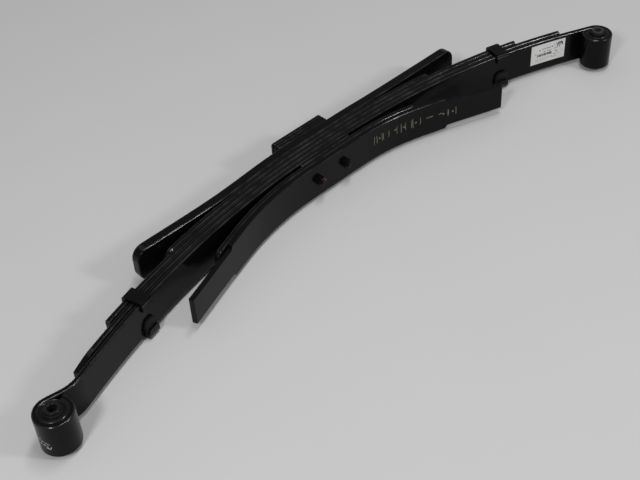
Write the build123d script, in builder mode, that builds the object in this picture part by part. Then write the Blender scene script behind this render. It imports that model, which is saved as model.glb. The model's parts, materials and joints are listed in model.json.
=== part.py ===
"""Multi-leaf rear suspension spring with an upper helper pack, lying on its side.

Frame: +X runs along the spring towards the front eye, +Y points from the leaves to the
axle (the convex side), +Z runs across the leaf width. The origin is where the centre
bolt's axis meets the axle seat, half way across the leaf width. Sizes are millimetres.
"""
import os
from math import atan, cos, degrees, hypot, radians, sin

from build123d import *

os.makedirs("parts", exist_ok=True)

# ---- driving dimensions -------------------------------------------------------------
leaf_width = 76.2
leaf_thick = 10.8
overload_thick = 21.8
plate_thick = 7.6
spacer_thick = 8.3
paint_gap = 0.2            # coating between two stacked pieces
seat_gap = 0.1             # coating under a bolt head or a nut
through = 400.0            # a cut longer than any piece is thick
overcut = 1.0              # how far a cutting outline runs past the piece
match = 0.01               # how closely an edge must fit the length or place it is picked by
edge_radius = 3.4          # rolled edge of the spring bar
fourth_corner = 24.0       # corner radius of the fourth leaf's ends
overload_corner = 25.0
support_corner = 16.0

bolt_pitch = 74.0          # centre bolt to clamp bolt, along X
bolt_dia = 12.0
bolt_hole_dia = 12.6
hex_across_flats = 19.0
nut_height = 10.5
thread_beyond_nut = 3.5
bolt_head_dia = 25.0       # both heads bear on the middle seat plate
bolt_head_clear = 0.4      # radial, in the outer seat plate
clamp_head_recess = 1.7    # below the seat face
locating_head_dia = 22.0
locating_head_height = 13.0
head_chamfer = 2.0
thread_chamfer = 1.2
thread_clear = 0.05
nut_corner = 1.2            # what the nut's corners keep beyond its flats

rear_camber = 2.85e-4      # drop of the main leaf = rear_camber * d ** 2
front_camber = 1.424e-5    # drop of the main leaf = front_camber * d ** front_power
front_power = 2.45
camber_stations = 13
main_stations = 21
arch_stations = 7
tip_lift = 2.0             # gap the tip pads open at each leaf, at lift_reach from the middle
lift_reach = 600.0
slope_step = 1.0           # stations used to take a line's slope

rear_eye_bore = 50.0
rear_camber_start = -726.0
rear_bend_radius = 73.0    # reverse bend that centres the rear eye on the leaf
rear_bend_exit = 10.0      # degrees
rear_neck = 28.0
front_eye_bore = 44.0
front_camber_end = 636.0
front_neck = 44.0
eye_wrap = 307.0           # degrees of roll in each eye

second_span = (-722.0, 613.0)
second_taper_from = -672.0  # the second leaf's rear end narrows from here
second_tip_width = 54.0
third_span = (-617.0, 518.0)
fourth_span = (-446.0, 312.0)
overload_span = (-479.0, 410.0)
helper_span = (-481.0, 386.0)
support_span = (-381.0, 204.0)
spacer_span = (-100.0, 37.0)
plate_span = (-92.0, 44.0)
plate_corner = 5.0
plate_chamfer = 1.3

overload_rear_drop = 13.2
overload_front_drop = 3.4
overload_step_from = 45.0
overload_step_length = 235.0

# the helper is flat, then drops by curve * (d - flat) ** 2 over its bend, then runs straight
helper_rear_shape = (57.0, 8.0e-4, 225.0)     # flat, curve and length of the bend
helper_front_shape = (85.0, 1.005e-3, 182.0)
helper_overrun = 50.0      # cutters past the helper's tips
helper_tip_width = 61.0
helper_corner = 2.0
helper_rim = 1.2
shoulder_run = 6.0
helper_shoulders = (-342.0, 254.0)

clip_width = 28.0
clip_thick = 4.6
clip_clear = 0.4
clip_pad_thick = 5.4
clip_bend = 5.0            # outer radius of the strap's bends
tab_corner = 6.5
upper_tab_z = 18.5         # where the upper tab ends, on the concave face
lower_tab_z = -22.5
pad_margin = 2.0
pad_top_z = -4.0           # the rubber reaches past the lower tab
pad_corner = 13.0
rear_clip_x = -544.0
front_clip_x = 459.5
rivet_dia = 8.0
rivet_head_dia = 15.0
rivet_head_height = 4.0
rivet_head_taper = 35.0

tip_pad_radius = 14.0
tip_pad_depth = 2.5
tip_pad_inset = 20.0

sleeve_overhang = 8.0      # inner sleeve past each face of the leaf
sleeve_clear = 0.05        # running clearance round each inner sleeve
rear_sleeve_outer = 28.0
rear_sleeve_inner = 16.2
front_sleeve_outer = 26.0
front_sleeve_inner = 14.4
sleeve_chamfer = 1.0
can_wall = 2.2
can_chamfer = 0.6
rubber_recess = 1.5        # rubber below the leaf's face at the can
rubber_dip = 3.0
collar_wall = 3.5          # rubber collar round the sleeve
collar_rise = 3.5
collar_corner = 1.0
press_clear = 0.01

label_length = 80.5
label_height = 49.0
label_thick = 0.3
label_gap = 0.05            # adhesive
label_mid = (575.0, 6.5)   # X and Z of the label's middle

# ---- stack, from the axle seat down to the helper ------------------------------------
half_width = leaf_width / 2
pack_mid_x = -bolt_pitch / 2
plate_pitch = plate_thick + paint_gap
leaf_pitch = leaf_thick + paint_gap
overload_back = -3 * plate_pitch
overload_mid = overload_back - overload_thick / 2
fourth_mid = overload_back - overload_thick - paint_gap - leaf_thick / 2
main_mid = fourth_mid - 3 * leaf_pitch
spacer_face = main_mid - leaf_thick / 2 - paint_gap - spacer_thick
support_mid = spacer_face - paint_gap - leaf_thick / 2
helper_mid = support_mid - leaf_pitch
helper_face = helper_mid - leaf_thick / 2
head_under = seat_gap - plate_pitch


# ---- centre lines: each returns the height and the slope at a station x ----------------
def fallen(mid, x, drop, steepness):
    """Height and slope of a line that falls away from the middle of the pack."""
    return mid - drop, steepness if x < pack_mid_x else -steepness


def main_line(x):
    d = abs(x - pack_mid_x)
    if x < pack_mid_x:
        return fallen(main_mid, x, rear_camber * d ** 2, 2 * rear_camber * d)
    steepness = front_camber * front_power * d ** (front_power - 1)
    return fallen(main_mid, x, front_camber * d ** front_power, steepness)


def lift(x):
    """Gap beyond the coating that the tip pads open between two leaves."""
    return tip_lift * ((x - pack_mid_x) / lift_reach) ** 2


def pack_line(number):
    """Centre line of the nth leaf after the main leaf, going towards the axle."""
    def height(x):
        y, slope = main_line(x)
        return y + number * (leaf_pitch + lift(x)) * hypot(1.0, slope)

    def line(x):
        return height(x), (height(x + slope_step) - height(x - slope_step)) / (2 * slope_step)

    return line


def helper_line(x):
    flat, curve, bend_length = helper_rear_shape if x < pack_mid_x else helper_front_shape
    past_flat = max(0.0, abs(x - pack_mid_x) - flat)
    bend = min(past_flat, bend_length)
    steepness = 2 * curve * bend
    return fallen(helper_mid, x, curve * bend ** 2 + steepness * (past_flat - bend), steepness)


def support_line(x):
    """Centre line of the leaf stacked on the back of the helper."""
    y, slope = helper_line(x)
    return y + leaf_pitch * hypot(1.0, slope), slope


def overload_line(x):
    """Nearly flat: it falls by a small amount over a smooth step and then runs level."""
    d = abs(x - pack_mid_x)
    fall = overload_rear_drop if x < pack_mid_x else overload_front_drop
    t = min(1.0, max(0.0, (d - overload_step_from) / overload_step_length))
    return fallen(overload_mid, x, fall * t * t * (3 - 2 * t),
                  fall * 6 * t * (1 - t) / overload_step_length)


def offset_point(line, x, offset):
    """Point at a distance from a centre line, square to it; positive is towards the axle."""
    y, slope = line(x)
    length = hypot(1.0, slope)
    return (x - offset * slope / length, y + offset / length)


def face_points(line, span, offset, count=camber_stations):
    start, end = span
    steps = [start + (end - start) * i / (count - 1) for i in range(count)]
    return [offset_point(line, x, offset) for x in steps]


def across_plane(line, x):
    """Plane across the leaf: local X towards the axle, local Y up the leaf width."""
    y, slope = line(x)
    return Plane(origin=(x, y, 0), x_dir=(-slope, 1, 0), z_dir=(1, slope, 0))


def face_plane(line, x, offset, z=0.0):
    """Plane tangent to a leaf face, looking away from the axle."""
    px, py = offset_point(line, x, offset)
    slope = line(x)[1]
    return Plane(origin=(px, py, z), x_dir=(1, slope, 0), z_dir=(slope, -1, 0))


def save(builder, label):
    builder.part.label = label
    export_step(builder.part, f"parts/{label}.step")


def corner_edges(part, thick):
    """The straight edges through the thickness, at the corners of a plate's outline."""
    return part.edges().filter_by(GeomType.LINE).filter_by(lambda e: e.length < 2 * thick)


def rim_edges(part):
    """The edges round a plate's two broad faces."""
    return part.faces().sort_by(SortBy.AREA)[-2:].edges()


# ---- main leaf: the cambered bar rolled into an eye at each end -----------------------------
rear_heading = atan(main_line(rear_camber_start)[1])
rear_exit = radians(rear_bend_exit)
front_heading = atan(main_line(front_camber_end)[1])
rear_eye_radius = (rear_eye_bore + leaf_thick) / 2
front_eye_radius = (front_eye_bore + leaf_thick) / 2

rear_start_y = main_line(rear_camber_start)[0]
bend_centre = (
    rear_camber_start - rear_bend_radius * sin(rear_heading),
    rear_start_y + rear_bend_radius * cos(rear_heading),
)


def rear_neck_end(offset):
    """Where the rear neck meets its eye, at an offset from the centre line."""
    reach = rear_bend_radius - offset
    return (
        bend_centre[0] - reach * sin(rear_exit) - rear_neck * cos(rear_exit),
        bend_centre[1] - reach * cos(rear_exit) + rear_neck * sin(rear_exit),
    )


def front_neck_end(offset):
    """Where the front neck meets its eye, at an offset from the centre line."""
    start = offset_point(main_line, front_camber_end, offset)
    return (
        start[0] + front_neck * cos(front_heading),
        start[1] + front_neck * sin(front_heading),
    )


rear_eye = rear_neck_end(-rear_eye_radius)
front_eye = front_neck_end(-front_eye_radius)
camber_tangents = (
    (cos(rear_heading), sin(rear_heading)),
    (cos(front_heading), sin(front_heading)),
)

with BuildPart() as main_leaf:
    with BuildSketch(Plane.XY.offset(-half_width)):
        with BuildLine():
            rear_tips = []
            front_tips = []
            for offset in (-leaf_thick / 2, leaf_thick / 2):
                rear_roll = CenterArc(
                    rear_eye, rear_eye_radius + offset, 90 - rear_bend_exit, eye_wrap)
                bend = CenterArc(
                    bend_centre, rear_bend_radius - offset,
                    degrees(rear_heading) - 90, -degrees(rear_heading) - rear_bend_exit)
                Line(rear_roll @ 0, bend @ 1)
                camber = Spline(
                    *face_points(main_line, (rear_camber_start, front_camber_end),
                                 offset, main_stations),
                    tangents=camber_tangents)
                front_roll = CenterArc(
                    front_eye, front_eye_radius + offset, 90 + degrees(front_heading), -eye_wrap)
                Line(camber @ 1, front_roll @ 0)
                rear_tips.append(rear_roll @ 1)
                front_tips.append(front_roll @ 1)
            Line(*rear_tips)
            Line(*front_tips)
        make_face()
    extrude(amount=leaf_width)
    side_edges = main_leaf.edges().group_by(Axis.Z)[0] + main_leaf.edges().group_by(Axis.Z)[-1]
    fillet(side_edges.filter_by(lambda e: e.length > 2 * leaf_thick), edge_radius)
    with BuildSketch(Plane.XZ):
        with Locations((0, 0), (-bolt_pitch, 0)):
            Circle(bolt_hole_dia / 2)
    extrude(amount=through, both=True, mode=Mode.SUBTRACT)
save(main_leaf, "main_leaf")


# ---- stacked leaves: bars of one thickness along a centre line ---------------------------------
def stacked_leaf(line, span, thick, corner_radius=0):
    """A leaf with rolled edges; its ends are rounded in plan, or sheared square."""
    with BuildPart() as leaf:
        with BuildSketch(Plane.XY.offset(-half_width)):
            with BuildLine():
                face = Spline(*face_points(line, span, -thick / 2))
                back = Spline(*face_points(line, span, thick / 2))
                Line(face @ 0, back @ 0)
                Line(face @ 1, back @ 1)
            make_face()
        extrude(amount=leaf_width)
        if corner_radius:
            fillet(corner_edges(leaf, thick), corner_radius)
            fillet(rim_edges(leaf), edge_radius)
        else:
            fillet(rim_edges(leaf).filter_by(lambda e: e.length > 2 * leaf_width), edge_radius)
        with BuildSketch(Plane.XZ):
            with Locations((0, 0), (-bolt_pitch, 0)):
                Circle(bolt_hole_dia / 2)
        extrude(amount=through, both=True, mode=Mode.SUBTRACT)
    return leaf


def add_tip_pads(leaf_part, number, span, label):
    """Round anti-friction pads let into the concave face of a leaf, one near each tip."""
    line = pack_line(number)
    pad_stations = (span[0] + tip_pad_inset, span[1] - tip_pad_inset)
    recess = tip_pad_depth - leaf_thick / 2
    with BuildPart() as leaf:
        add(leaf_part)
        for x in pad_stations:
            with BuildSketch(face_plane(line, x, recess)):
                Circle(tip_pad_radius + press_clear)
            extrude(amount=2 * tip_pad_depth, mode=Mode.SUBTRACT)
    with BuildPart() as pads:
        for x in pad_stations:
            with BuildSketch(face_plane(line, x, recess - press_clear)):
                Circle(tip_pad_radius)
            extrude(amount=tip_pad_depth + lift(x))
    save(pads, label + "_tip_pads")
    return leaf


second_run_out = second_span[0] - 2 * leaf_thick
second = stacked_leaf(pack_line(1), second_span, leaf_thick)
second = add_tip_pads(second.part, 1, second_span, "second_leaf")
with BuildPart() as second_leaf:
    add(second.part)
    with BuildSketch(Plane.XZ):
        for side in (1, -1):
            with BuildLine():
                Polyline(
                    (second_taper_from, side * half_width),
                    (second_run_out, side * second_tip_width / 2),
                    (second_run_out, side * (half_width + overcut)),
                    (second_taper_from, side * (half_width + overcut)),
                    close=True)
            make_face()
    extrude(amount=through, both=True, mode=Mode.SUBTRACT)
save(second_leaf, "second_leaf")

third = stacked_leaf(pack_line(2), third_span, leaf_thick)
third = add_tip_pads(third.part, 2, third_span, "third_leaf")
with BuildPart() as third_leaf:
    add(third.part)
    for clip_x in (rear_clip_x, front_clip_x):
        with BuildSketch(face_plane(main_line, clip_x, 2 * leaf_pitch)):
            Circle(rivet_dia / 2 + press_clear)
        extrude(amount=2 * leaf_thick, both=True, mode=Mode.SUBTRACT)
save(third_leaf, "third_leaf")

fourth = stacked_leaf(pack_line(3), fourth_span, leaf_thick, fourth_corner)
fourth = add_tip_pads(fourth.part, 3, fourth_span, "fourth_leaf")
save(fourth, "fourth_leaf")

save(stacked_leaf(overload_line, overload_span, overload_thick, overload_corner), "overload_leaf")
save(stacked_leaf(support_line, support_span, leaf_thick, support_corner), "helper_support_leaf")

# ---- helper leaf: the same bar with both tips cut narrower -------------------------------------
with BuildPart() as helper_leaf:
    with BuildSketch(Plane.XY.offset(-half_width)):
        with BuildLine():
            helper_front = Spline(*face_points(helper_line, helper_span, -leaf_thick / 2))
            helper_back = Spline(*face_points(helper_line, helper_span, leaf_thick / 2))
            Line(helper_front @ 0, helper_back @ 0)
            Line(helper_front @ 1, helper_back @ 1)
        make_face()
    extrude(amount=leaf_width)
    with BuildSketch(Plane.XZ):
        for side in (1, -1):
            for tip, shoulder in zip(helper_span, helper_shoulders):
                outward = 1 if tip > shoulder else -1
                run_out = tip + outward * helper_overrun
                with BuildLine():
                    Polyline(
                        (shoulder, side * (half_width + overcut)),
                        (shoulder + outward * shoulder_run, side * helper_tip_width / 2),
                        (run_out, side * helper_tip_width / 2),
                        (run_out, side * (half_width + overcut)),
                        close=True)
                make_face()
        with Locations((0, 0), (-bolt_pitch, 0)):
            Circle(bolt_hole_dia / 2)
    extrude(amount=through, both=True, mode=Mode.SUBTRACT)
    helper_corners = corner_edges(helper_leaf, leaf_thick).group_by(Axis.X)
    fillet(helper_corners[0] + helper_corners[-1], helper_corner)
    chamfer(rim_edges(helper_leaf).filter_by(lambda e: e.length > leaf_thick), helper_rim)
save(helper_leaf, "helper_leaf")


# ---- spacer: flat under the helper pack, arched to sit in the main leaf --------------------------
with BuildPart() as helper_spacer:
    with BuildSketch(Plane.XY.offset(-half_width)):
        with BuildLine():
            arch = Spline(*face_points(
                main_line, spacer_span, -leaf_thick / 2 - paint_gap, arch_stations))
            Polyline(
                arch @ 0,
                (spacer_span[0], spacer_face),
                (spacer_span[1], spacer_face),
                arch @ 1)
        make_face()
    extrude(amount=leaf_width)
    fillet(corner_edges(helper_spacer, spacer_thick), plate_corner)
    chamfer(rim_edges(helper_spacer), plate_chamfer)
    with BuildSketch(Plane.XZ):
        with Locations((0, 0), (-bolt_pitch, 0)):
            Circle(bolt_hole_dia / 2)
    extrude(amount=through, both=True, mode=Mode.SUBTRACT)
save(helper_spacer, "helper_spacer")


# ---- axle seat plates: three flat plates stacked under the overload leaf -------------------------
for number, name in enumerate(("outer", "middle", "inner")):
    with BuildPart() as plate:
        with BuildSketch(Plane.XZ.offset(number * plate_pitch)):
            with Locations((sum(plate_span) / 2, 0)):
                RectangleRounded(plate_span[1] - plate_span[0], leaf_width, plate_corner)
        extrude(amount=plate_thick)
        chamfer(rim_edges(plate), plate_chamfer)
        hole_dia = bolt_head_dia + 2 * bolt_head_clear if name == "outer" else bolt_hole_dia
        with BuildSketch(Plane.XZ):
            with Locations((0, 0), (-bolt_pitch, 0)):
                Circle(hole_dia / 2)
        extrude(amount=through, both=True, mode=Mode.SUBTRACT)
    save(plate, f"{name}_seat_plate")


# ---- pack bolts: round heads let into the outer seat plate, hexagon nuts on the helper --------------
bolt_end = helper_face - nut_height - thread_beyond_nut
for label, bolt_x, head_top in (
    ("centre_bolt", 0, 0),
    ("clamp_bolt", -bolt_pitch, -clamp_head_recess),
):
    with BuildPart() as bolt:
        with BuildSketch(Plane.XZ.offset(-head_top)):
            with Locations((bolt_x, 0)):
                Circle(bolt_head_dia / 2)
        extrude(amount=head_top - head_under)
        if label == "centre_bolt":
            with BuildSketch(Plane.XZ.offset(-locating_head_height)):
                Circle(locating_head_dia / 2)
            extrude(amount=locating_head_height)
        chamfer(bolt.edges().group_by(Axis.Y)[-1], head_chamfer)
        with BuildSketch(Plane.XZ.offset(-head_under)):
            with Locations((bolt_x, 0)):
                Circle(bolt_dia / 2)
        extrude(amount=head_under - bolt_end)
        chamfer(bolt.edges().group_by(Axis.Y)[0], thread_chamfer)
    save(bolt, label)

with BuildPart() as nuts:
    with BuildSketch(Plane.XZ.offset(seat_gap - helper_face)):
        with Locations((0, 0), (-bolt_pitch, 0)):
            RegularPolygon(hex_across_flats / 2, 6, major_radius=False)
            Circle(bolt_dia / 2 + thread_clear, mode=Mode.SUBTRACT)
    extrude(amount=nut_height - seat_gap)
    with BuildSketch(Plane.XZ.offset(seat_gap - helper_face)):
        with Locations((0, 0), (-bolt_pitch, 0)):
            Circle(hex_across_flats / 2 + nut_corner)
    extrude(amount=nut_height - seat_gap, mode=Mode.INTERSECT)
save(nuts, "pack_bolt_nuts")


# ---- eye bushings: outer can, bonded rubber and inner sleeve ------------------------------------------
def bushing(end, eye, bore, sleeve_outer, sleeve_inner):
    """The three pieces pressed into one eye; eye is its centre in X and Y."""
    can_inner = bore / 2 - can_wall
    sleeve_radius = sleeve_outer / 2
    sleeve_reach = half_width + sleeve_overhang
    with BuildPart() as can:
        with BuildSketch(Plane(origin=(*eye, -half_width))):
            Circle(bore / 2 - press_clear)
            Circle(can_inner, mode=Mode.SUBTRACT)
        extrude(amount=leaf_width)
        chamfer(can.edges().group_by(Axis.Z)[0] + can.edges().group_by(Axis.Z)[-1], can_chamfer)
    save(can, f"{end}_bushing_can")

    with BuildPart() as rubber:
        with BuildSketch(Plane(origin=(*eye, 0), x_dir=(1, 0, 0), z_dir=(0, -1, 0))):
            with BuildLine():
                Polyline(
                    (sleeve_radius + sleeve_clear, 0),
                    (can_inner - press_clear, 0),
                    (can_inner - press_clear, half_width - rubber_recess))
                Spline(
                    (can_inner - press_clear, half_width - rubber_recess),
                    ((can_inner + sleeve_radius) / 2, half_width - rubber_dip),
                    (sleeve_radius + collar_wall, half_width + collar_rise - collar_corner))
                Polyline(
                    (sleeve_radius + collar_wall, half_width + collar_rise - collar_corner),
                    (sleeve_radius + collar_wall - collar_corner, half_width + collar_rise),
                    (sleeve_radius + sleeve_clear, half_width + collar_rise),
                    (sleeve_radius + sleeve_clear, 0))
            make_face()
        revolve(axis=Axis((*eye, 0), (0, 0, 1)))
        mirror(about=Plane.XY)
    save(rubber, f"{end}_bushing_rubber")

    with BuildPart() as sleeve:
        with BuildSketch(Plane(origin=(*eye, -sleeve_reach))):
            Circle(sleeve_radius)
            Circle(sleeve_inner / 2, mode=Mode.SUBTRACT)
        extrude(amount=2 * sleeve_reach)
        sleeve_ends = sleeve.edges().group_by(Axis.Z)
        chamfer(sleeve_ends[0] + sleeve_ends[-1], sleeve_chamfer)
    save(sleeve, f"{end}_inner_sleeve")


bushing("rear", rear_eye, rear_eye_bore, rear_sleeve_outer, rear_sleeve_inner)
bushing("front", front_eye, front_eye_bore, front_sleeve_outer, front_sleeve_inner)


# ---- rebound clips: riveted to the third leaf, ends folded over the main leaf --------------------------
def third_back(x):
    """Distance from the main leaf's centre line to the back of the third leaf."""
    return 2 * (leaf_pitch + lift(x)) + leaf_thick / 2


def rebound_clip(end, x):
    face_in = -leaf_thick / 2 - clip_clear
    back_in = third_back(x) + clip_clear
    side_in = half_width + clip_clear
    side_out = side_in + clip_thick
    pad_in = face_in - clip_pad_thick
    here = across_plane(main_line, x)
    towards_axle = Axis(here.origin, here.x_dir)
    with BuildPart() as clip:
        with BuildSketch(here):
            with BuildLine():
                Polyline(
                    (face_in, upper_tab_z),
                    (face_in, side_in),
                    (back_in, side_in),
                    (back_in, -side_in),
                    (pad_in, -side_in),
                    (pad_in, lower_tab_z),
                    (pad_in - clip_thick, lower_tab_z),
                    (pad_in - clip_thick, -side_out),
                    (back_in + clip_thick, -side_out),
                    (back_in + clip_thick, side_out),
                    (face_in - clip_thick, side_out),
                    (face_in - clip_thick, upper_tab_z),
                    close=True)
            make_face()
        extrude(amount=clip_width / 2, both=True)
        bends = clip.edges().filter_by(lambda e: abs(e.length - clip_width) < match)
        fillet(bends.filter_by(lambda e: abs(abs(e.center().Z) - side_out) < match), clip_bend)
        tab_ends = clip.edges().filter_by(towards_axle)
        tab_ends = tab_ends.filter_by(lambda e: abs(e.length - clip_thick) < match)
        fillet(tab_ends, tab_corner)
        with BuildSketch(face_plane(main_line, x, back_in)):
            Circle(rivet_dia / 2 + press_clear)
        extrude(amount=2 * clip_thick, both=True, mode=Mode.SUBTRACT)
    save(clip, f"{end}_rebound_clip")

    with BuildPart() as pad:
        with BuildSketch(here):
            with Locations(((pad_in + face_in) / 2, (pad_top_z - half_width) / 2)):
                Rectangle(clip_pad_thick - paint_gap, half_width + pad_top_z)
        extrude(amount=clip_width / 2 + pad_margin, both=True)
        upright = pad.edges().filter_by(towards_axle)
        fillet(upright.group_by(Axis.Z)[-1], pad_corner)
    save(pad, f"{end}_clip_pad")


rebound_clip("rear", rear_clip_x)
rebound_clip("front", front_clip_x)

with BuildPart() as rivets:
    for clip_x in (rear_clip_x, front_clip_x):
        head_base = third_back(clip_x) + clip_clear + clip_thick + seat_gap
        with BuildSketch(face_plane(main_line, clip_x, head_base)):
            Circle(rivet_dia / 2)
        extrude(amount=seat_gap + clip_thick + clip_clear + leaf_thick)
        with BuildSketch(face_plane(main_line, clip_x, head_base)):
            Circle(rivet_head_dia / 2)
        extrude(amount=-rivet_head_height, taper=rivet_head_taper)
save(rivets, "clip_rivets")

# ---- part label: a thin sticker on the concave face of the main leaf, beside the front eye ----------------
label_span = (label_mid[0] - label_length / 2, label_mid[0] + label_length / 2)
label_under = -leaf_thick / 2 - label_gap
with BuildPart() as label:
    with BuildSketch(Plane.XY.offset(label_mid[1] - label_height / 2)):
        with BuildLine():
            under = Spline(*face_points(main_line, label_span, label_under))
            outer = Spline(*face_points(main_line, label_span, label_under - label_thick))
            Line(under @ 0, outer @ 0)
            Line(under @ 1, outer @ 1)
        make_face()
    extrude(amount=label_height)
save(label, "part_label")

for end, eye in (("rear", rear_eye), ("front", front_eye)):
    print(f"{end} eye centre: X {eye[0]:.3f}  Y {eye[1]:.3f}")
print(f"helper face: Y {helper_face:.3f}   bolt end: Y {bolt_end:.3f}")
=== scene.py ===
import json
import math
import random

import bpy
from mathutils import Matrix, Vector
from mathutils.bvhtree import BVHTree


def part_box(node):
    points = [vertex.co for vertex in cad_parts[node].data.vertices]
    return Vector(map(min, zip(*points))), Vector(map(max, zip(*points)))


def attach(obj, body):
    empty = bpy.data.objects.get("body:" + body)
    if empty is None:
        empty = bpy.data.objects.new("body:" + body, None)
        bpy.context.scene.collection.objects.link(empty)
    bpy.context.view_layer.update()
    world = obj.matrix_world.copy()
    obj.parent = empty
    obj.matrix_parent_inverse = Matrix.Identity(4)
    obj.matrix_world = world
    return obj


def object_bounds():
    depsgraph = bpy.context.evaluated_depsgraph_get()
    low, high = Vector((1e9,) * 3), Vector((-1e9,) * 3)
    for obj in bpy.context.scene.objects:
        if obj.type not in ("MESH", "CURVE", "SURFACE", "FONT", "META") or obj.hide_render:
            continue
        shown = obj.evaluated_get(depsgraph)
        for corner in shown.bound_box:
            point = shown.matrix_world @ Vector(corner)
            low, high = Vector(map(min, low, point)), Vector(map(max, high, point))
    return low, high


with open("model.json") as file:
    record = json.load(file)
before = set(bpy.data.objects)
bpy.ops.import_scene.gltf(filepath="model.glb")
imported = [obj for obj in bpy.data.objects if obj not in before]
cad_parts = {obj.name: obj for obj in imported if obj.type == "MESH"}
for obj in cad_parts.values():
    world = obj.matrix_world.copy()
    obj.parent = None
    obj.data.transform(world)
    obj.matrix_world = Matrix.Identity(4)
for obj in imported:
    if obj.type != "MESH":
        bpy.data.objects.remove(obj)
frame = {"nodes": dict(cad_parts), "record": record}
cad_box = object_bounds()
nodes = frame["nodes"]
random.seed(7)

scene = bpy.context.scene
PACK = "spring_pack"

# ---- camera: the photograph's viewing angle -------------------------------------------------
CAMERA_PLACE = Vector((-1.2913, -1.4684, 1.5142))
PITCH = math.radians(42.693)
ROLL = math.radians(-3.803)
HEADING = Vector((0.6672, 0.7449, 0)).normalized()
SENSOR_MM = 36
LENS_MM = 66.85
FARTHEST_SHOWN = 50

forward = HEADING * math.cos(PITCH) - Vector((0, 0, math.sin(PITCH)))
level_right = Vector((HEADING.y, -HEADING.x, 0))
level_up = level_right.cross(forward)
right = level_right * math.cos(ROLL) + level_up * math.sin(ROLL)
up = level_up * math.cos(ROLL) - level_right * math.sin(ROLL)

camera_data = bpy.data.cameras.new("camera")
camera_data.sensor_width = SENSOR_MM
camera_data.lens = LENS_MM
camera_data.clip_end = FARTHEST_SHOWN
camera = bpy.data.objects.new("camera", camera_data)
camera.matrix_world = Matrix((
    (right.x, up.x, -forward.x, CAMERA_PLACE.x),
    (right.y, up.y, -forward.y, CAMERA_PLACE.y),
    (right.z, up.z, -forward.z, CAMERA_PLACE.z),
    (0, 0, 0, 1),
))
scene.collection.objects.link(camera)
scene.camera = camera
scene.view_settings.view_transform = "Standard"


# ---- material helpers ------------------------------------------------------------------------
class Nodes:
    """A short way to write a node tree around one Principled shader.

    Noise takes the CAD frame's own coordinates, in metres, so a scale is a count per metre.
    """

    def __init__(self, name):
        self.material = bpy.data.materials.new(name)
        self.material.use_nodes = True
        self.tree = self.material.node_tree
        self.shader = self.tree.nodes["Principled BSDF"]
        self.place = self.tree.nodes.new("ShaderNodeTexCoord").outputs["Object"]

    def link(self, output, target):
        self.tree.links.new(output, target)

    def stretched(self, scale):
        node = self.tree.nodes.new("ShaderNodeMapping")
        node.inputs["Scale"].default_value = scale
        self.link(self.place, node.inputs["Vector"])
        return node.outputs["Vector"]

    def noise(self, scale, detail=4, rough=0.55, vector=None):
        node = self.tree.nodes.new("ShaderNodeTexNoise")
        node.inputs["Scale"].default_value = scale
        node.inputs["Detail"].default_value = detail
        node.inputs["Roughness"].default_value = rough
        self.link(vector or self.place, node.inputs["Vector"])
        return node.outputs["Fac"]

    def remap(self, value, low, high, to_low=0.0, to_high=1.0):
        node = self.tree.nodes.new("ShaderNodeMapRange")
        node.inputs["From Min"].default_value = low
        node.inputs["From Max"].default_value = high
        node.inputs["To Min"].default_value = to_low
        node.inputs["To Max"].default_value = to_high
        self.link(value, node.inputs["Value"])
        return node.outputs["Result"]

    def math(self, kind, first, second):
        node = self.tree.nodes.new("ShaderNodeMath")
        node.operation = kind
        for socket, value in zip(node.inputs, (first, second)):
            if isinstance(value, (int, float)):
                socket.default_value = value
            else:
                self.link(value, socket)
        return node.outputs["Value"]

    def height(self):
        node = self.tree.nodes.new("ShaderNodeSeparateXYZ")
        self.link(self.place, node.inputs["Vector"])
        return node.outputs["Z"]

    def mix(self, factor, first, second):
        node = self.tree.nodes.new("ShaderNodeMix")
        node.data_type = "RGBA"
        self.link(factor, node.inputs["Factor"])
        for name, value in (("A", first), ("B", second)):
            socket = [s for s in node.inputs if s.name == name and s.type == "RGBA"][0]
            if isinstance(value, tuple):
                socket.default_value = (*value, 1)
            else:
                self.link(value, socket)
        return [s for s in node.outputs if s.type == "RGBA"][0]

    def bump(self, heights):
        """heights: (value, strength, distance) from the coarsest to the finest."""
        normal = None
        for value, strength, distance in heights:
            node = self.tree.nodes.new("ShaderNodeBump")
            node.inputs["Strength"].default_value = strength
            node.inputs["Distance"].default_value = distance
            self.link(value, node.inputs["Height"])
            if normal is not None:
                self.link(normal, node.inputs["Normal"])
            normal = node.outputs["Normal"]
        self.link(normal, self.shader.inputs["Normal"])


WARM = (1.0, 0.99, 0.96)
COOL = (1.0, 1.0, 1.04)
DUSTY = (1.0, 0.98, 0.94)

NOISE_SPAN = (0.3, 0.7)    # where nearly all of a noise's values lie
DUST_TINT = 0.0875
DUST_ROUGHNESS = 0.042
SCRATCH_ROUGHNESS = 0.25

# heights above or below mid width, each as a soft step: where an edge begins and where it ends; a
# highlight is painted on the edges between them
ROLLED_BAND = (0.0352, 0.0364)
CHAMFER_BAND = (0.0368, 0.0372)
EDGE_END = (0.03806, 0.0379)

PAINT_IOR = 1.22
RUBBER_IOR = 1.25


def grey(value, tint=(1.0, 1.0, 1.0)):
    return tuple(value * t for t in tint)


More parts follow.
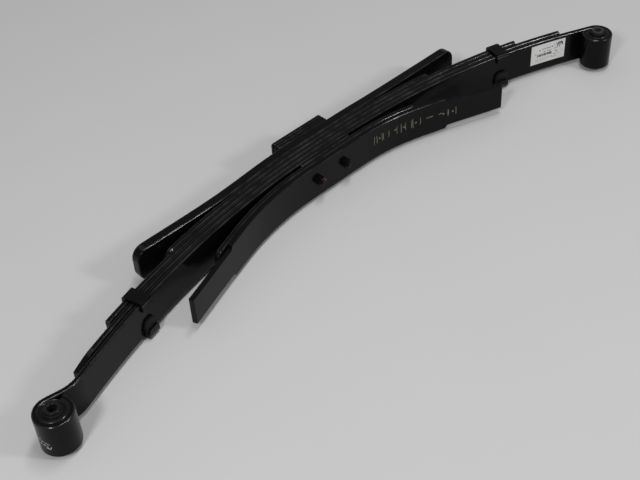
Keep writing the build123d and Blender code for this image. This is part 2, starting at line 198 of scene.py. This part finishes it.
def black_paint(name, base=0.0025, rough=(0.10, 0.18), peel=1.0, scuff=0.5,
                painted_glint_band=ROLLED_BAND, painted_glint_gain=0.85):
    """Gloss black dip paint on shot-peened spring steel, with scuffs, dust and orange peel.

    peel is how strong the orange peel is, scuff how pale the scratches are, and the last two set the
    heights of a highlight painted on the edges and how much more they shine there than the faces.
    """
    m = Nodes(name)
    cloud = m.noise(5, 5, 0.6)
    dusty = m.remap(m.noise(38, 8, 0.72), 0.50, 0.78)
    colour = m.mix(cloud, grey(base), grey(base * 1.7, COOL))
    colour = m.mix(m.math("MULTIPLY", dusty, DUST_TINT), colour, grey(0.03, DUSTY))
    scratch_line = m.noise(1.0, 3, 0.5, m.stretched((22, 22, 900)))
    scratch_gate = m.remap(m.noise(11, 3), 0.52, 0.66)
    scratches = m.math("MULTIPLY", m.remap(scratch_line, 0.66, 0.70), scratch_gate)
    colour = m.mix(m.math("MULTIPLY", scratches, scuff * 0.5), colour, grey(0.09))
    # a painted highlight along the edges, between the broad faces and the flats: paler colour and
    # higher IOR
    height = m.math("ABSOLUTE", m.height(), 0)
    painted_glint = m.math("MULTIPLY", m.remap(height, *painted_glint_band), m.remap(height, *EDGE_END))
    painted_glint = m.math("MULTIPLY", painted_glint, m.remap(m.noise(36, 5, 0.7), 0.36, 0.64, 0.2, 1.0))
    colour = m.mix(m.math("MULTIPLY", painted_glint, 0.5), colour, grey(0.02))
    m.link(colour, m.shader.inputs["Base Color"])
    m.link(m.math("ADD", m.math("MULTIPLY", painted_glint, painted_glint_gain), PAINT_IOR), m.shader.inputs["IOR"])
    roughness = m.remap(m.noise(70, 6, 0.65), *NOISE_SPAN, *rough)
    roughness = m.math("ADD", roughness, m.math("MULTIPLY", scratches, SCRATCH_ROUGHNESS))
    roughness = m.math("ADD", roughness, m.math("MULTIPLY", dusty, DUST_ROUGHNESS))
    m.link(roughness, m.shader.inputs["Roughness"])
    m.bump((
        (m.noise(24, 3), 0.05 * peel, 0.001),
        (m.noise(330, 3, 0.5), 0.05 * peel, 0.0003),
        (m.noise(1500, 2, 0.5), 0.03 * peel, 0.0001),
    ))
    return m


# each part's painted edge highlight: the band of heights it lies in and how strongly it shines
leaf_paint = black_paint("leaf_black_paint", painted_glint_gain=0.55)
helper_paint = black_paint("helper_black_paint", painted_glint_band=CHAMFER_BAND, painted_glint_gain=0.5)
plate_paint = black_paint("plate_black_paint", base=0.0026, rough=(0.12, 0.22), peel=0.8,
                          painted_glint_band=CHAMFER_BAND, painted_glint_gain=0.4)
clip_paint = black_paint("clip_black_paint", base=0.003, rough=(0.14, 0.24), peel=0.9, scuff=0.8)
bolt_paint = black_paint("bolt_black_paint", base=0.0035, rough=(0.18, 0.32), peel=0.6, scuff=0.7)
steel_paint = black_paint("bushing_black_paint", base=0.009, rough=(0.22, 0.36), peel=0.8)
worn_paint = black_paint("worn_sleeve_paint", base=0.03, rough=(0.26, 0.40), peel=0.8)


def rubber(name, base=0.006, grain=900):
    """Matt black rubber or plastic with a faint bloom; grain is the scale of its skin."""
    m = Nodes(name)
    bloom = m.remap(m.noise(45, 6, 0.7), 0.42, 0.72)
    m.link(m.mix(bloom, grey(base), grey(base * 2.4, WARM)), m.shader.inputs["Base Color"])
    m.link(m.remap(m.noise(90, 5), *NOISE_SPAN, 0.52, 0.72), m.shader.inputs["Roughness"])
    m.bump((
        (m.noise(60, 3), 0.10, 0.001),
        (m.noise(grain, 3, 0.6), 0.22, 0.0002),
    ))
    m.shader.inputs["IOR"].default_value = RUBBER_IOR
    return m


bushing_rubber = rubber("bushing_rubber")
pad_rubber = rubber("pad_rubber", grain=600)
tip_pad_plastic = rubber("tip_pad_plastic", base=0.016, grain=1400)


def satin_film(name):
    """White printed film with a slight unevenness."""
    m = Nodes(name)
    stain = m.remap(m.noise(50, 5), 0.3, 0.75)
    m.link(m.mix(stain, grey(0.74), grey(0.66, WARM)), m.shader.inputs["Base Color"])
    m.link(m.remap(m.noise(120, 4), *NOISE_SPAN, 0.28, 0.45), m.shader.inputs["Roughness"])
    m.bump(((m.noise(30, 2), 0.12, 0.001), (m.noise(700, 2), 0.05, 0.0001)))
    return m


label_film = satin_film("label_film")

MATERIAL_OF_SLOT = {
    "leaf_paint": leaf_paint,
    "plate_paint": plate_paint,
    "clip_paint": clip_paint,
    "bolt_paint": bolt_paint,
    "bushing_steel": steel_paint,
    "bushing_rubber": bushing_rubber,
    "pad_rubber": pad_rubber,
    "tip_pad_plastic": tip_pad_plastic,
    "label_film": label_film,
}
MATERIAL_OF_NODE = {
    "helper_leaf": helper_paint,
    "front_inner_sleeve": worn_paint,
}
for row in frame["record"]["subparts"]:
    node = nodes[row["node"]]
    finish = MATERIAL_OF_NODE.get(row["node"], MATERIAL_OF_SLOT[row["material_slot"]])
    node.data.materials.clear()
    node.data.materials.append(finish.material)


# ---- painted and printed marks: closed thin strokes laid on the surfaces they mark -----------
def marking_paint(name, colour, patchy, rough=(0.45, 0.65)):
    """Flat marking paint or ink, worn through in places; patchy is how uneven it looks."""
    m = Nodes(name)
    wear = m.remap(m.noise(420, 4, 0.7), 0.38, 0.66)
    faded = tuple(c * (1 - patchy) for c in colour)
    m.link(m.mix(wear, colour, faded), m.shader.inputs["Base Color"])
    m.link(m.remap(m.noise(260, 3), *NOISE_SPAN, *rough), m.shader.inputs["Roughness"])
    m.bump(((m.noise(900, 3), 0.15, 0.0001),))
    return m


class Marks:
    """Strokes of paint on one surface, gathered into one mesh that rides on the spring pack.

    ray turns a stroke's (u, v) point into the start and direction of a ray to the surface.
    Each stroke is a thin closed slab, from height above the surface to sink below it.
    """

    def __init__(self, surface, ray, height=0.00006, sink=0.00003):
        self.tree = BVHTree.FromPolygons(
            [v.co.copy() for v in surface.data.vertices],
            [tuple(p.vertices) for p in surface.data.polygons])
        self.ray = ray
        self.height = height
        self.sink = sink
        self.verts = []
        self.faces = []

    def stroke(self, path, widths, steps=4):
        """A band along a path of (u, v) points; the width runs between the values given."""
        points = []
        for (u0, v0), (u1, v1) in zip(path, path[1:]):
            for i in range(steps):
                t = i / steps
                points.append(Vector((u0 + (u1 - u0) * t, v0 + (v1 - v0) * t)))
        points.append(Vector(path[-1]))
        base = len(self.verts)
        last = len(points) - 1
        for i, point in enumerate(points):
            ahead = points[min(i + 1, last)] - points[max(i - 1, 0)]
            side = Vector((-ahead.y, ahead.x)).normalized()
            blend = i / last * (len(widths) - 1)
            k = min(int(blend), len(widths) - 2)
            width = widths[k] + (widths[k + 1] - widths[k]) * (blend - k)
            for sign in (1, -1):
                spot = point + side * (sign * width / 2)
                origin, direction = self.ray(spot.x, spot.y)
                hit, normal, _, _ = self.tree.ray_cast(origin, direction)
                if normal.dot(direction) > 0:
                    normal = -normal
                self.verts.append(hit + normal * self.height)
                self.verts.append(hit - normal * self.sink)
        for i in range(last):
            a = base + 4 * i
            b = a + 4
            self.faces += [(a, a + 2, b + 2, b), (a + 1, b + 1, b + 3, a + 3),
                           (a, b, b + 1, a + 1), (a + 2, a + 3, b + 3, b + 2)]
        end = base + 4 * last
        self.faces += [(base, base + 1, base + 3, base + 2), (end, end + 2, end + 3, end + 1)]

    def build(self, name, material):
        mesh = bpy.data.meshes.new(name)
        mesh.from_pydata(self.verts, [], self.faces)
        mesh.validate()
        marks = bpy.data.objects.new(name, mesh)
        marks.data.materials.append(material.material)
        scene.collection.objects.link(marks)
        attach(marks, PACK)


PROBE_START_Y = -1.0       # well outside the concave side


def from_concave_side(x, z):
    """A ray along +Y, square to the seat plates."""
    return Vector((x, PROBE_START_Y, z)), Vector((0, 1, 0))


def arc(u, v, radius_u, radius_v, start, sweep, count=7):
    """Points on part of an ellipse about (u, v); start and sweep are in degrees."""
    turns = [math.radians(start + sweep * i / (count - 1)) for i in range(count)]
    return [(u + radius_u * math.cos(t), v + radius_v * math.sin(t)) for t in turns]


# a row of stencil dashes, hooks and dots on the helper: strokes only, no characters
stencil_paint = marking_paint("stencil_paint", (0.20, 0.195, 0.12), 0.65)
stencil = Marks(nodes["helper_leaf"], from_concave_side)
STROKE_START = 0.083
STROKE_PITCH = 0.0070
ROW_HEIGHT = 0.0075        # above mid width, where the row starts
ROW_SLANT = -0.028
STROKE_KINDS = "||.|()  -(|.()|.)  --  -.)(.|"
for place, kind in enumerate(STROKE_KINDS):
    x = STROKE_START + STROKE_PITCH * place
    middle = ROW_HEIGHT + ROW_SLANT * (x - STROKE_START)
    tall = random.uniform(0.0095, 0.0125)
    thin = random.uniform(0.0011, 0.0017)
    lean = random.uniform(-0.0012, 0.0012)
    if kind == "|":
        ends = [(x - lean, middle - tall), (x + lean, middle + tall)]
        stencil.stroke(ends, (thin, thin * 1.3, thin), 10)
    elif kind in "()":
        turn = 125 if kind == "(" else -55
        bow = arc(x, middle, 0.0042, tall, turn, 110)
        stencil.stroke(bow, (thin * 0.7, thin * 1.3, thin * 0.7), 2)
    elif kind == ".":
        stencil.stroke([(x - 0.0018, middle - 0.001), (x + 0.0018, middle + 0.001)], (0.0035, 0.0035))
    elif kind == "-":
        stencil.stroke([(x - 0.0042, middle + 0.002), (x + 0.0042, middle + 0.003)], (0.0016, 0.0026))
stencil.build("helper_stencil_strokes", stencil_paint)

# paint-pen dashes on the rear eye's barrel
pen_paint = marking_paint("pen_paint", (0.55, 0.55, 0.56), 0.45)
rear_joint = [j for j in frame["record"]["behaviour"]["joints"] if j["name"] == "rear_bushing_twist"][0]
eye_x, eye_y, _ = rear_joint["pos_m"]
BARREL_RADIUS = 0.036
PROBE_REACH = 0.2


def towards_rear_eye(along, z):
    """A ray square to the barrel; along is measured round it from the side away from the pack."""
    turn = math.pi + along / BARREL_RADIUS
    out = Vector((math.cos(turn), math.sin(turn), 0))
    return Vector((eye_x, eye_y, z)) + out * PROBE_REACH, -out


# each dash: where it starts, how far it runs along and up, and its width
pen = Marks(nodes["main_leaf"], towards_rear_eye)
for along, z, du, dz, width in (
    (0.0015, 0.0005, 0.0024, 0.0035, 0.0018),
    (0.0030, -0.0055, 0.0008, -0.0050, 0.0021),
    (0.0075, 0.0010, 0.0006, -0.0048, 0.0017),
    (0.0110, -0.0015, 0.0018, -0.0045, 0.0014),
    (0.0070, -0.0095, 0.0062, -0.0012, 0.0024),
    (0.0150, -0.0020, 0.0022, -0.0060, 0.0013),
    (0.0185, -0.0040, 0.0016, -0.0030, 0.0012),
    (0.0120, -0.0155, 0.0035, -0.0010, 0.0016),
):
    pen.stroke([(along, z), (along + du, z + dz)], (width * 0.7, width, width * 0.6))
pen.stroke(arc(0.0185, -0.0125, 0.0032, 0.0045, 150, 230), (0.0014, 0.0022, 0.0014), 2)
pen.build("rear_eye_pen_marks", pen_paint)

# the label's print: rows of bars, and plain hooks in one corner
ink = marking_paint("label_ink", (0.035, 0.035, 0.038), 0.6)
faint_ink = marking_paint("label_faint_ink", (0.20, 0.20, 0.21), 0.5)
navy_ink = marking_paint("label_navy_ink", (0.012, 0.012, 0.045), 0.3)
label_low, label_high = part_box("part_label")
label_width = label_high.x - label_low.x
label_tall = label_high.z - label_low.z


def on_label(across, up):
    """A ray to a place on the label, given as fractions of its length and height."""
    return from_concave_side(label_low.x + across * label_width, label_low.z + up * label_tall)


def printed_row(marks, across, up, length, height, blocks, gap=0.25):
    """A row of bars of uneven length and height; gap is about the share of each left blank."""
    pitch = length / blocks
    for i in range(blocks):
        start = across + i * pitch
        run = pitch * (1 - gap * random.uniform(0.5, 1.6))
        widths = (height * random.uniform(0.75, 1.0), height)
        marks.stroke([(start, up), (start + run, up)], widths, 2)


PRINT_HEIGHT = 0.00008
PRINT_SINK = 0.00004
# each row: place and length as fractions of the label, height of the bars, how many bars
bold = Marks(nodes["part_label"], on_label, PRINT_HEIGHT, PRINT_SINK)
printed_row(bold, 0.185, 0.42, 0.44, 0.13, 9, 0.24)
bold.build("label_print_bold", ink)
faint = Marks(nodes["part_label"], on_label, PRINT_HEIGHT, PRINT_SINK)
for across, up, length, height, blocks in (
    (0.23, 0.70, 0.06, 0.06, 1), (0.33, 0.72, 0.26, 0.045, 6), (0.60, 0.74, 0.08, 0.06, 1),
    (0.37, 0.56, 0.07, 0.055, 1), (0.47, 0.57, 0.13, 0.045, 2), (0.67, 0.60, 0.12, 0.035, 2),
    (0.12, 0.52, 0.05, 0.05, 1), (0.72, 0.44, 0.08, 0.05, 1), (0.76, 0.31, 0.08, 0.035, 2),
    (0.68, 0.29, 0.07, 0.045, 1), (0.15, 0.22, 0.50, 0.022, 12), (0.16, 0.12, 0.32, 0.018, 7),
    (0.62, 0.17, 0.16, 0.018, 4), (0.68, 0.80, 0.14, 0.028, 3),
):
    printed_row(faint, across, up, length, height, blocks)
faint.build("label_print_faint", faint_ink)
navy = Marks(nodes["part_label"], on_label, PRINT_HEIGHT, PRINT_SINK)
navy.stroke(arc(0.835, 0.66, 0.055, 0.20, 185, -125), (0.020, 0.052, 0.040), 3)
navy.stroke(arc(0.870, 0.66, 0.050, 0.21, 95, -85), (0.040, 0.052, 0.030), 3)
navy.stroke([(0.853, 0.84), (0.842, 0.60)], (0.030, 0.016), 4)
navy.build("label_corner_hooks", navy_ink)

# a dab of red paint on the clamp bolt's nut, whose corners point along X: part of a ring
red_paint = marking_paint("red_dab", (0.15, 0.018, 0.018), 0.5, (0.35, 0.5))
dab = Marks(nodes["pack_bolt_nuts"], from_concave_side, 0.0002, 0.0001)
nut_low, nut_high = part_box("pack_bolt_nuts")
DAB_RADIUS = 0.0078
dab_x = nut_low.x + (nut_high.z - nut_low.z) / math.sqrt(3)
dab.stroke(arc(dab_x, 0, DAB_RADIUS, DAB_RADIUS, 125, -150, 12), (0.0014, 0.0027, 0.0018), 2)
dab.build("nut_paint_dab", red_paint)

# ---- floor, light ---------------------------------------------------------------------------------
FLOOR_REACH = 9.0
FLOOR_CORNERS = ((-1, -1), (1, -1), (1, 1), (-1, 1))
floor_z = cad_box[0].z
floor_mesh = bpy.data.meshes.new("floor")
floor_mesh.from_pydata(
    [(x * FLOOR_REACH, y * FLOOR_REACH, floor_z) for x, y in FLOOR_CORNERS],
    [], [(0, 1, 2, 3)])
floor = bpy.data.objects.new("floor", floor_mesh)
scene.collection.objects.link(floor)
pale = Nodes("floor")
pale.link(pale.mix(pale.noise(2.2, 4), grey(0.64), grey(0.66)), pale.shader.inputs["Base Color"])
pale.link(pale.remap(pale.noise(7, 3), *NOISE_SPAN, 0.6, 0.7), pale.shader.inputs["Roughness"])
floor.data.materials.append(pale.material)

world = bpy.data.worlds.new("world")
scene.world = world
world.use_nodes = True
sky = world.node_tree.nodes["Background"].inputs
sky["Color"].default_value = (1.0, 1.0, 1.0, 1)
sky["Strength"].default_value = 0.24


def softbox(name, place, target, size, power):
    """A rectangular lamp at a place, facing a target; size in metres and power in watts."""
    data = bpy.data.lights.new(name, "AREA")
    data.shape = "RECTANGLE"
    data.size, data.size_y = size
    data.energy = power
    light = bpy.data.objects.new(name, data)
    light.location = place
    light.rotation_mode = "QUATERNION"
    light.rotation_quaternion = (Vector(target) - Vector(place)).to_track_quat("-Z", "Y")
    scene.collection.objects.link(light)


softbox("key_right", (1.5, -3.4, 2.55), (-0.1, -0.1, 0), (0.6, 0.6), 41)
softbox("key_left", (-3.0, -1.4, 2.9), (-0.2, -0.1, 0), (0.65, 0.65), 52)
softbox("top", (0.3, -0.5, 4.1), (0.0, -0.1, 0), (2.4, 0.5), 48)
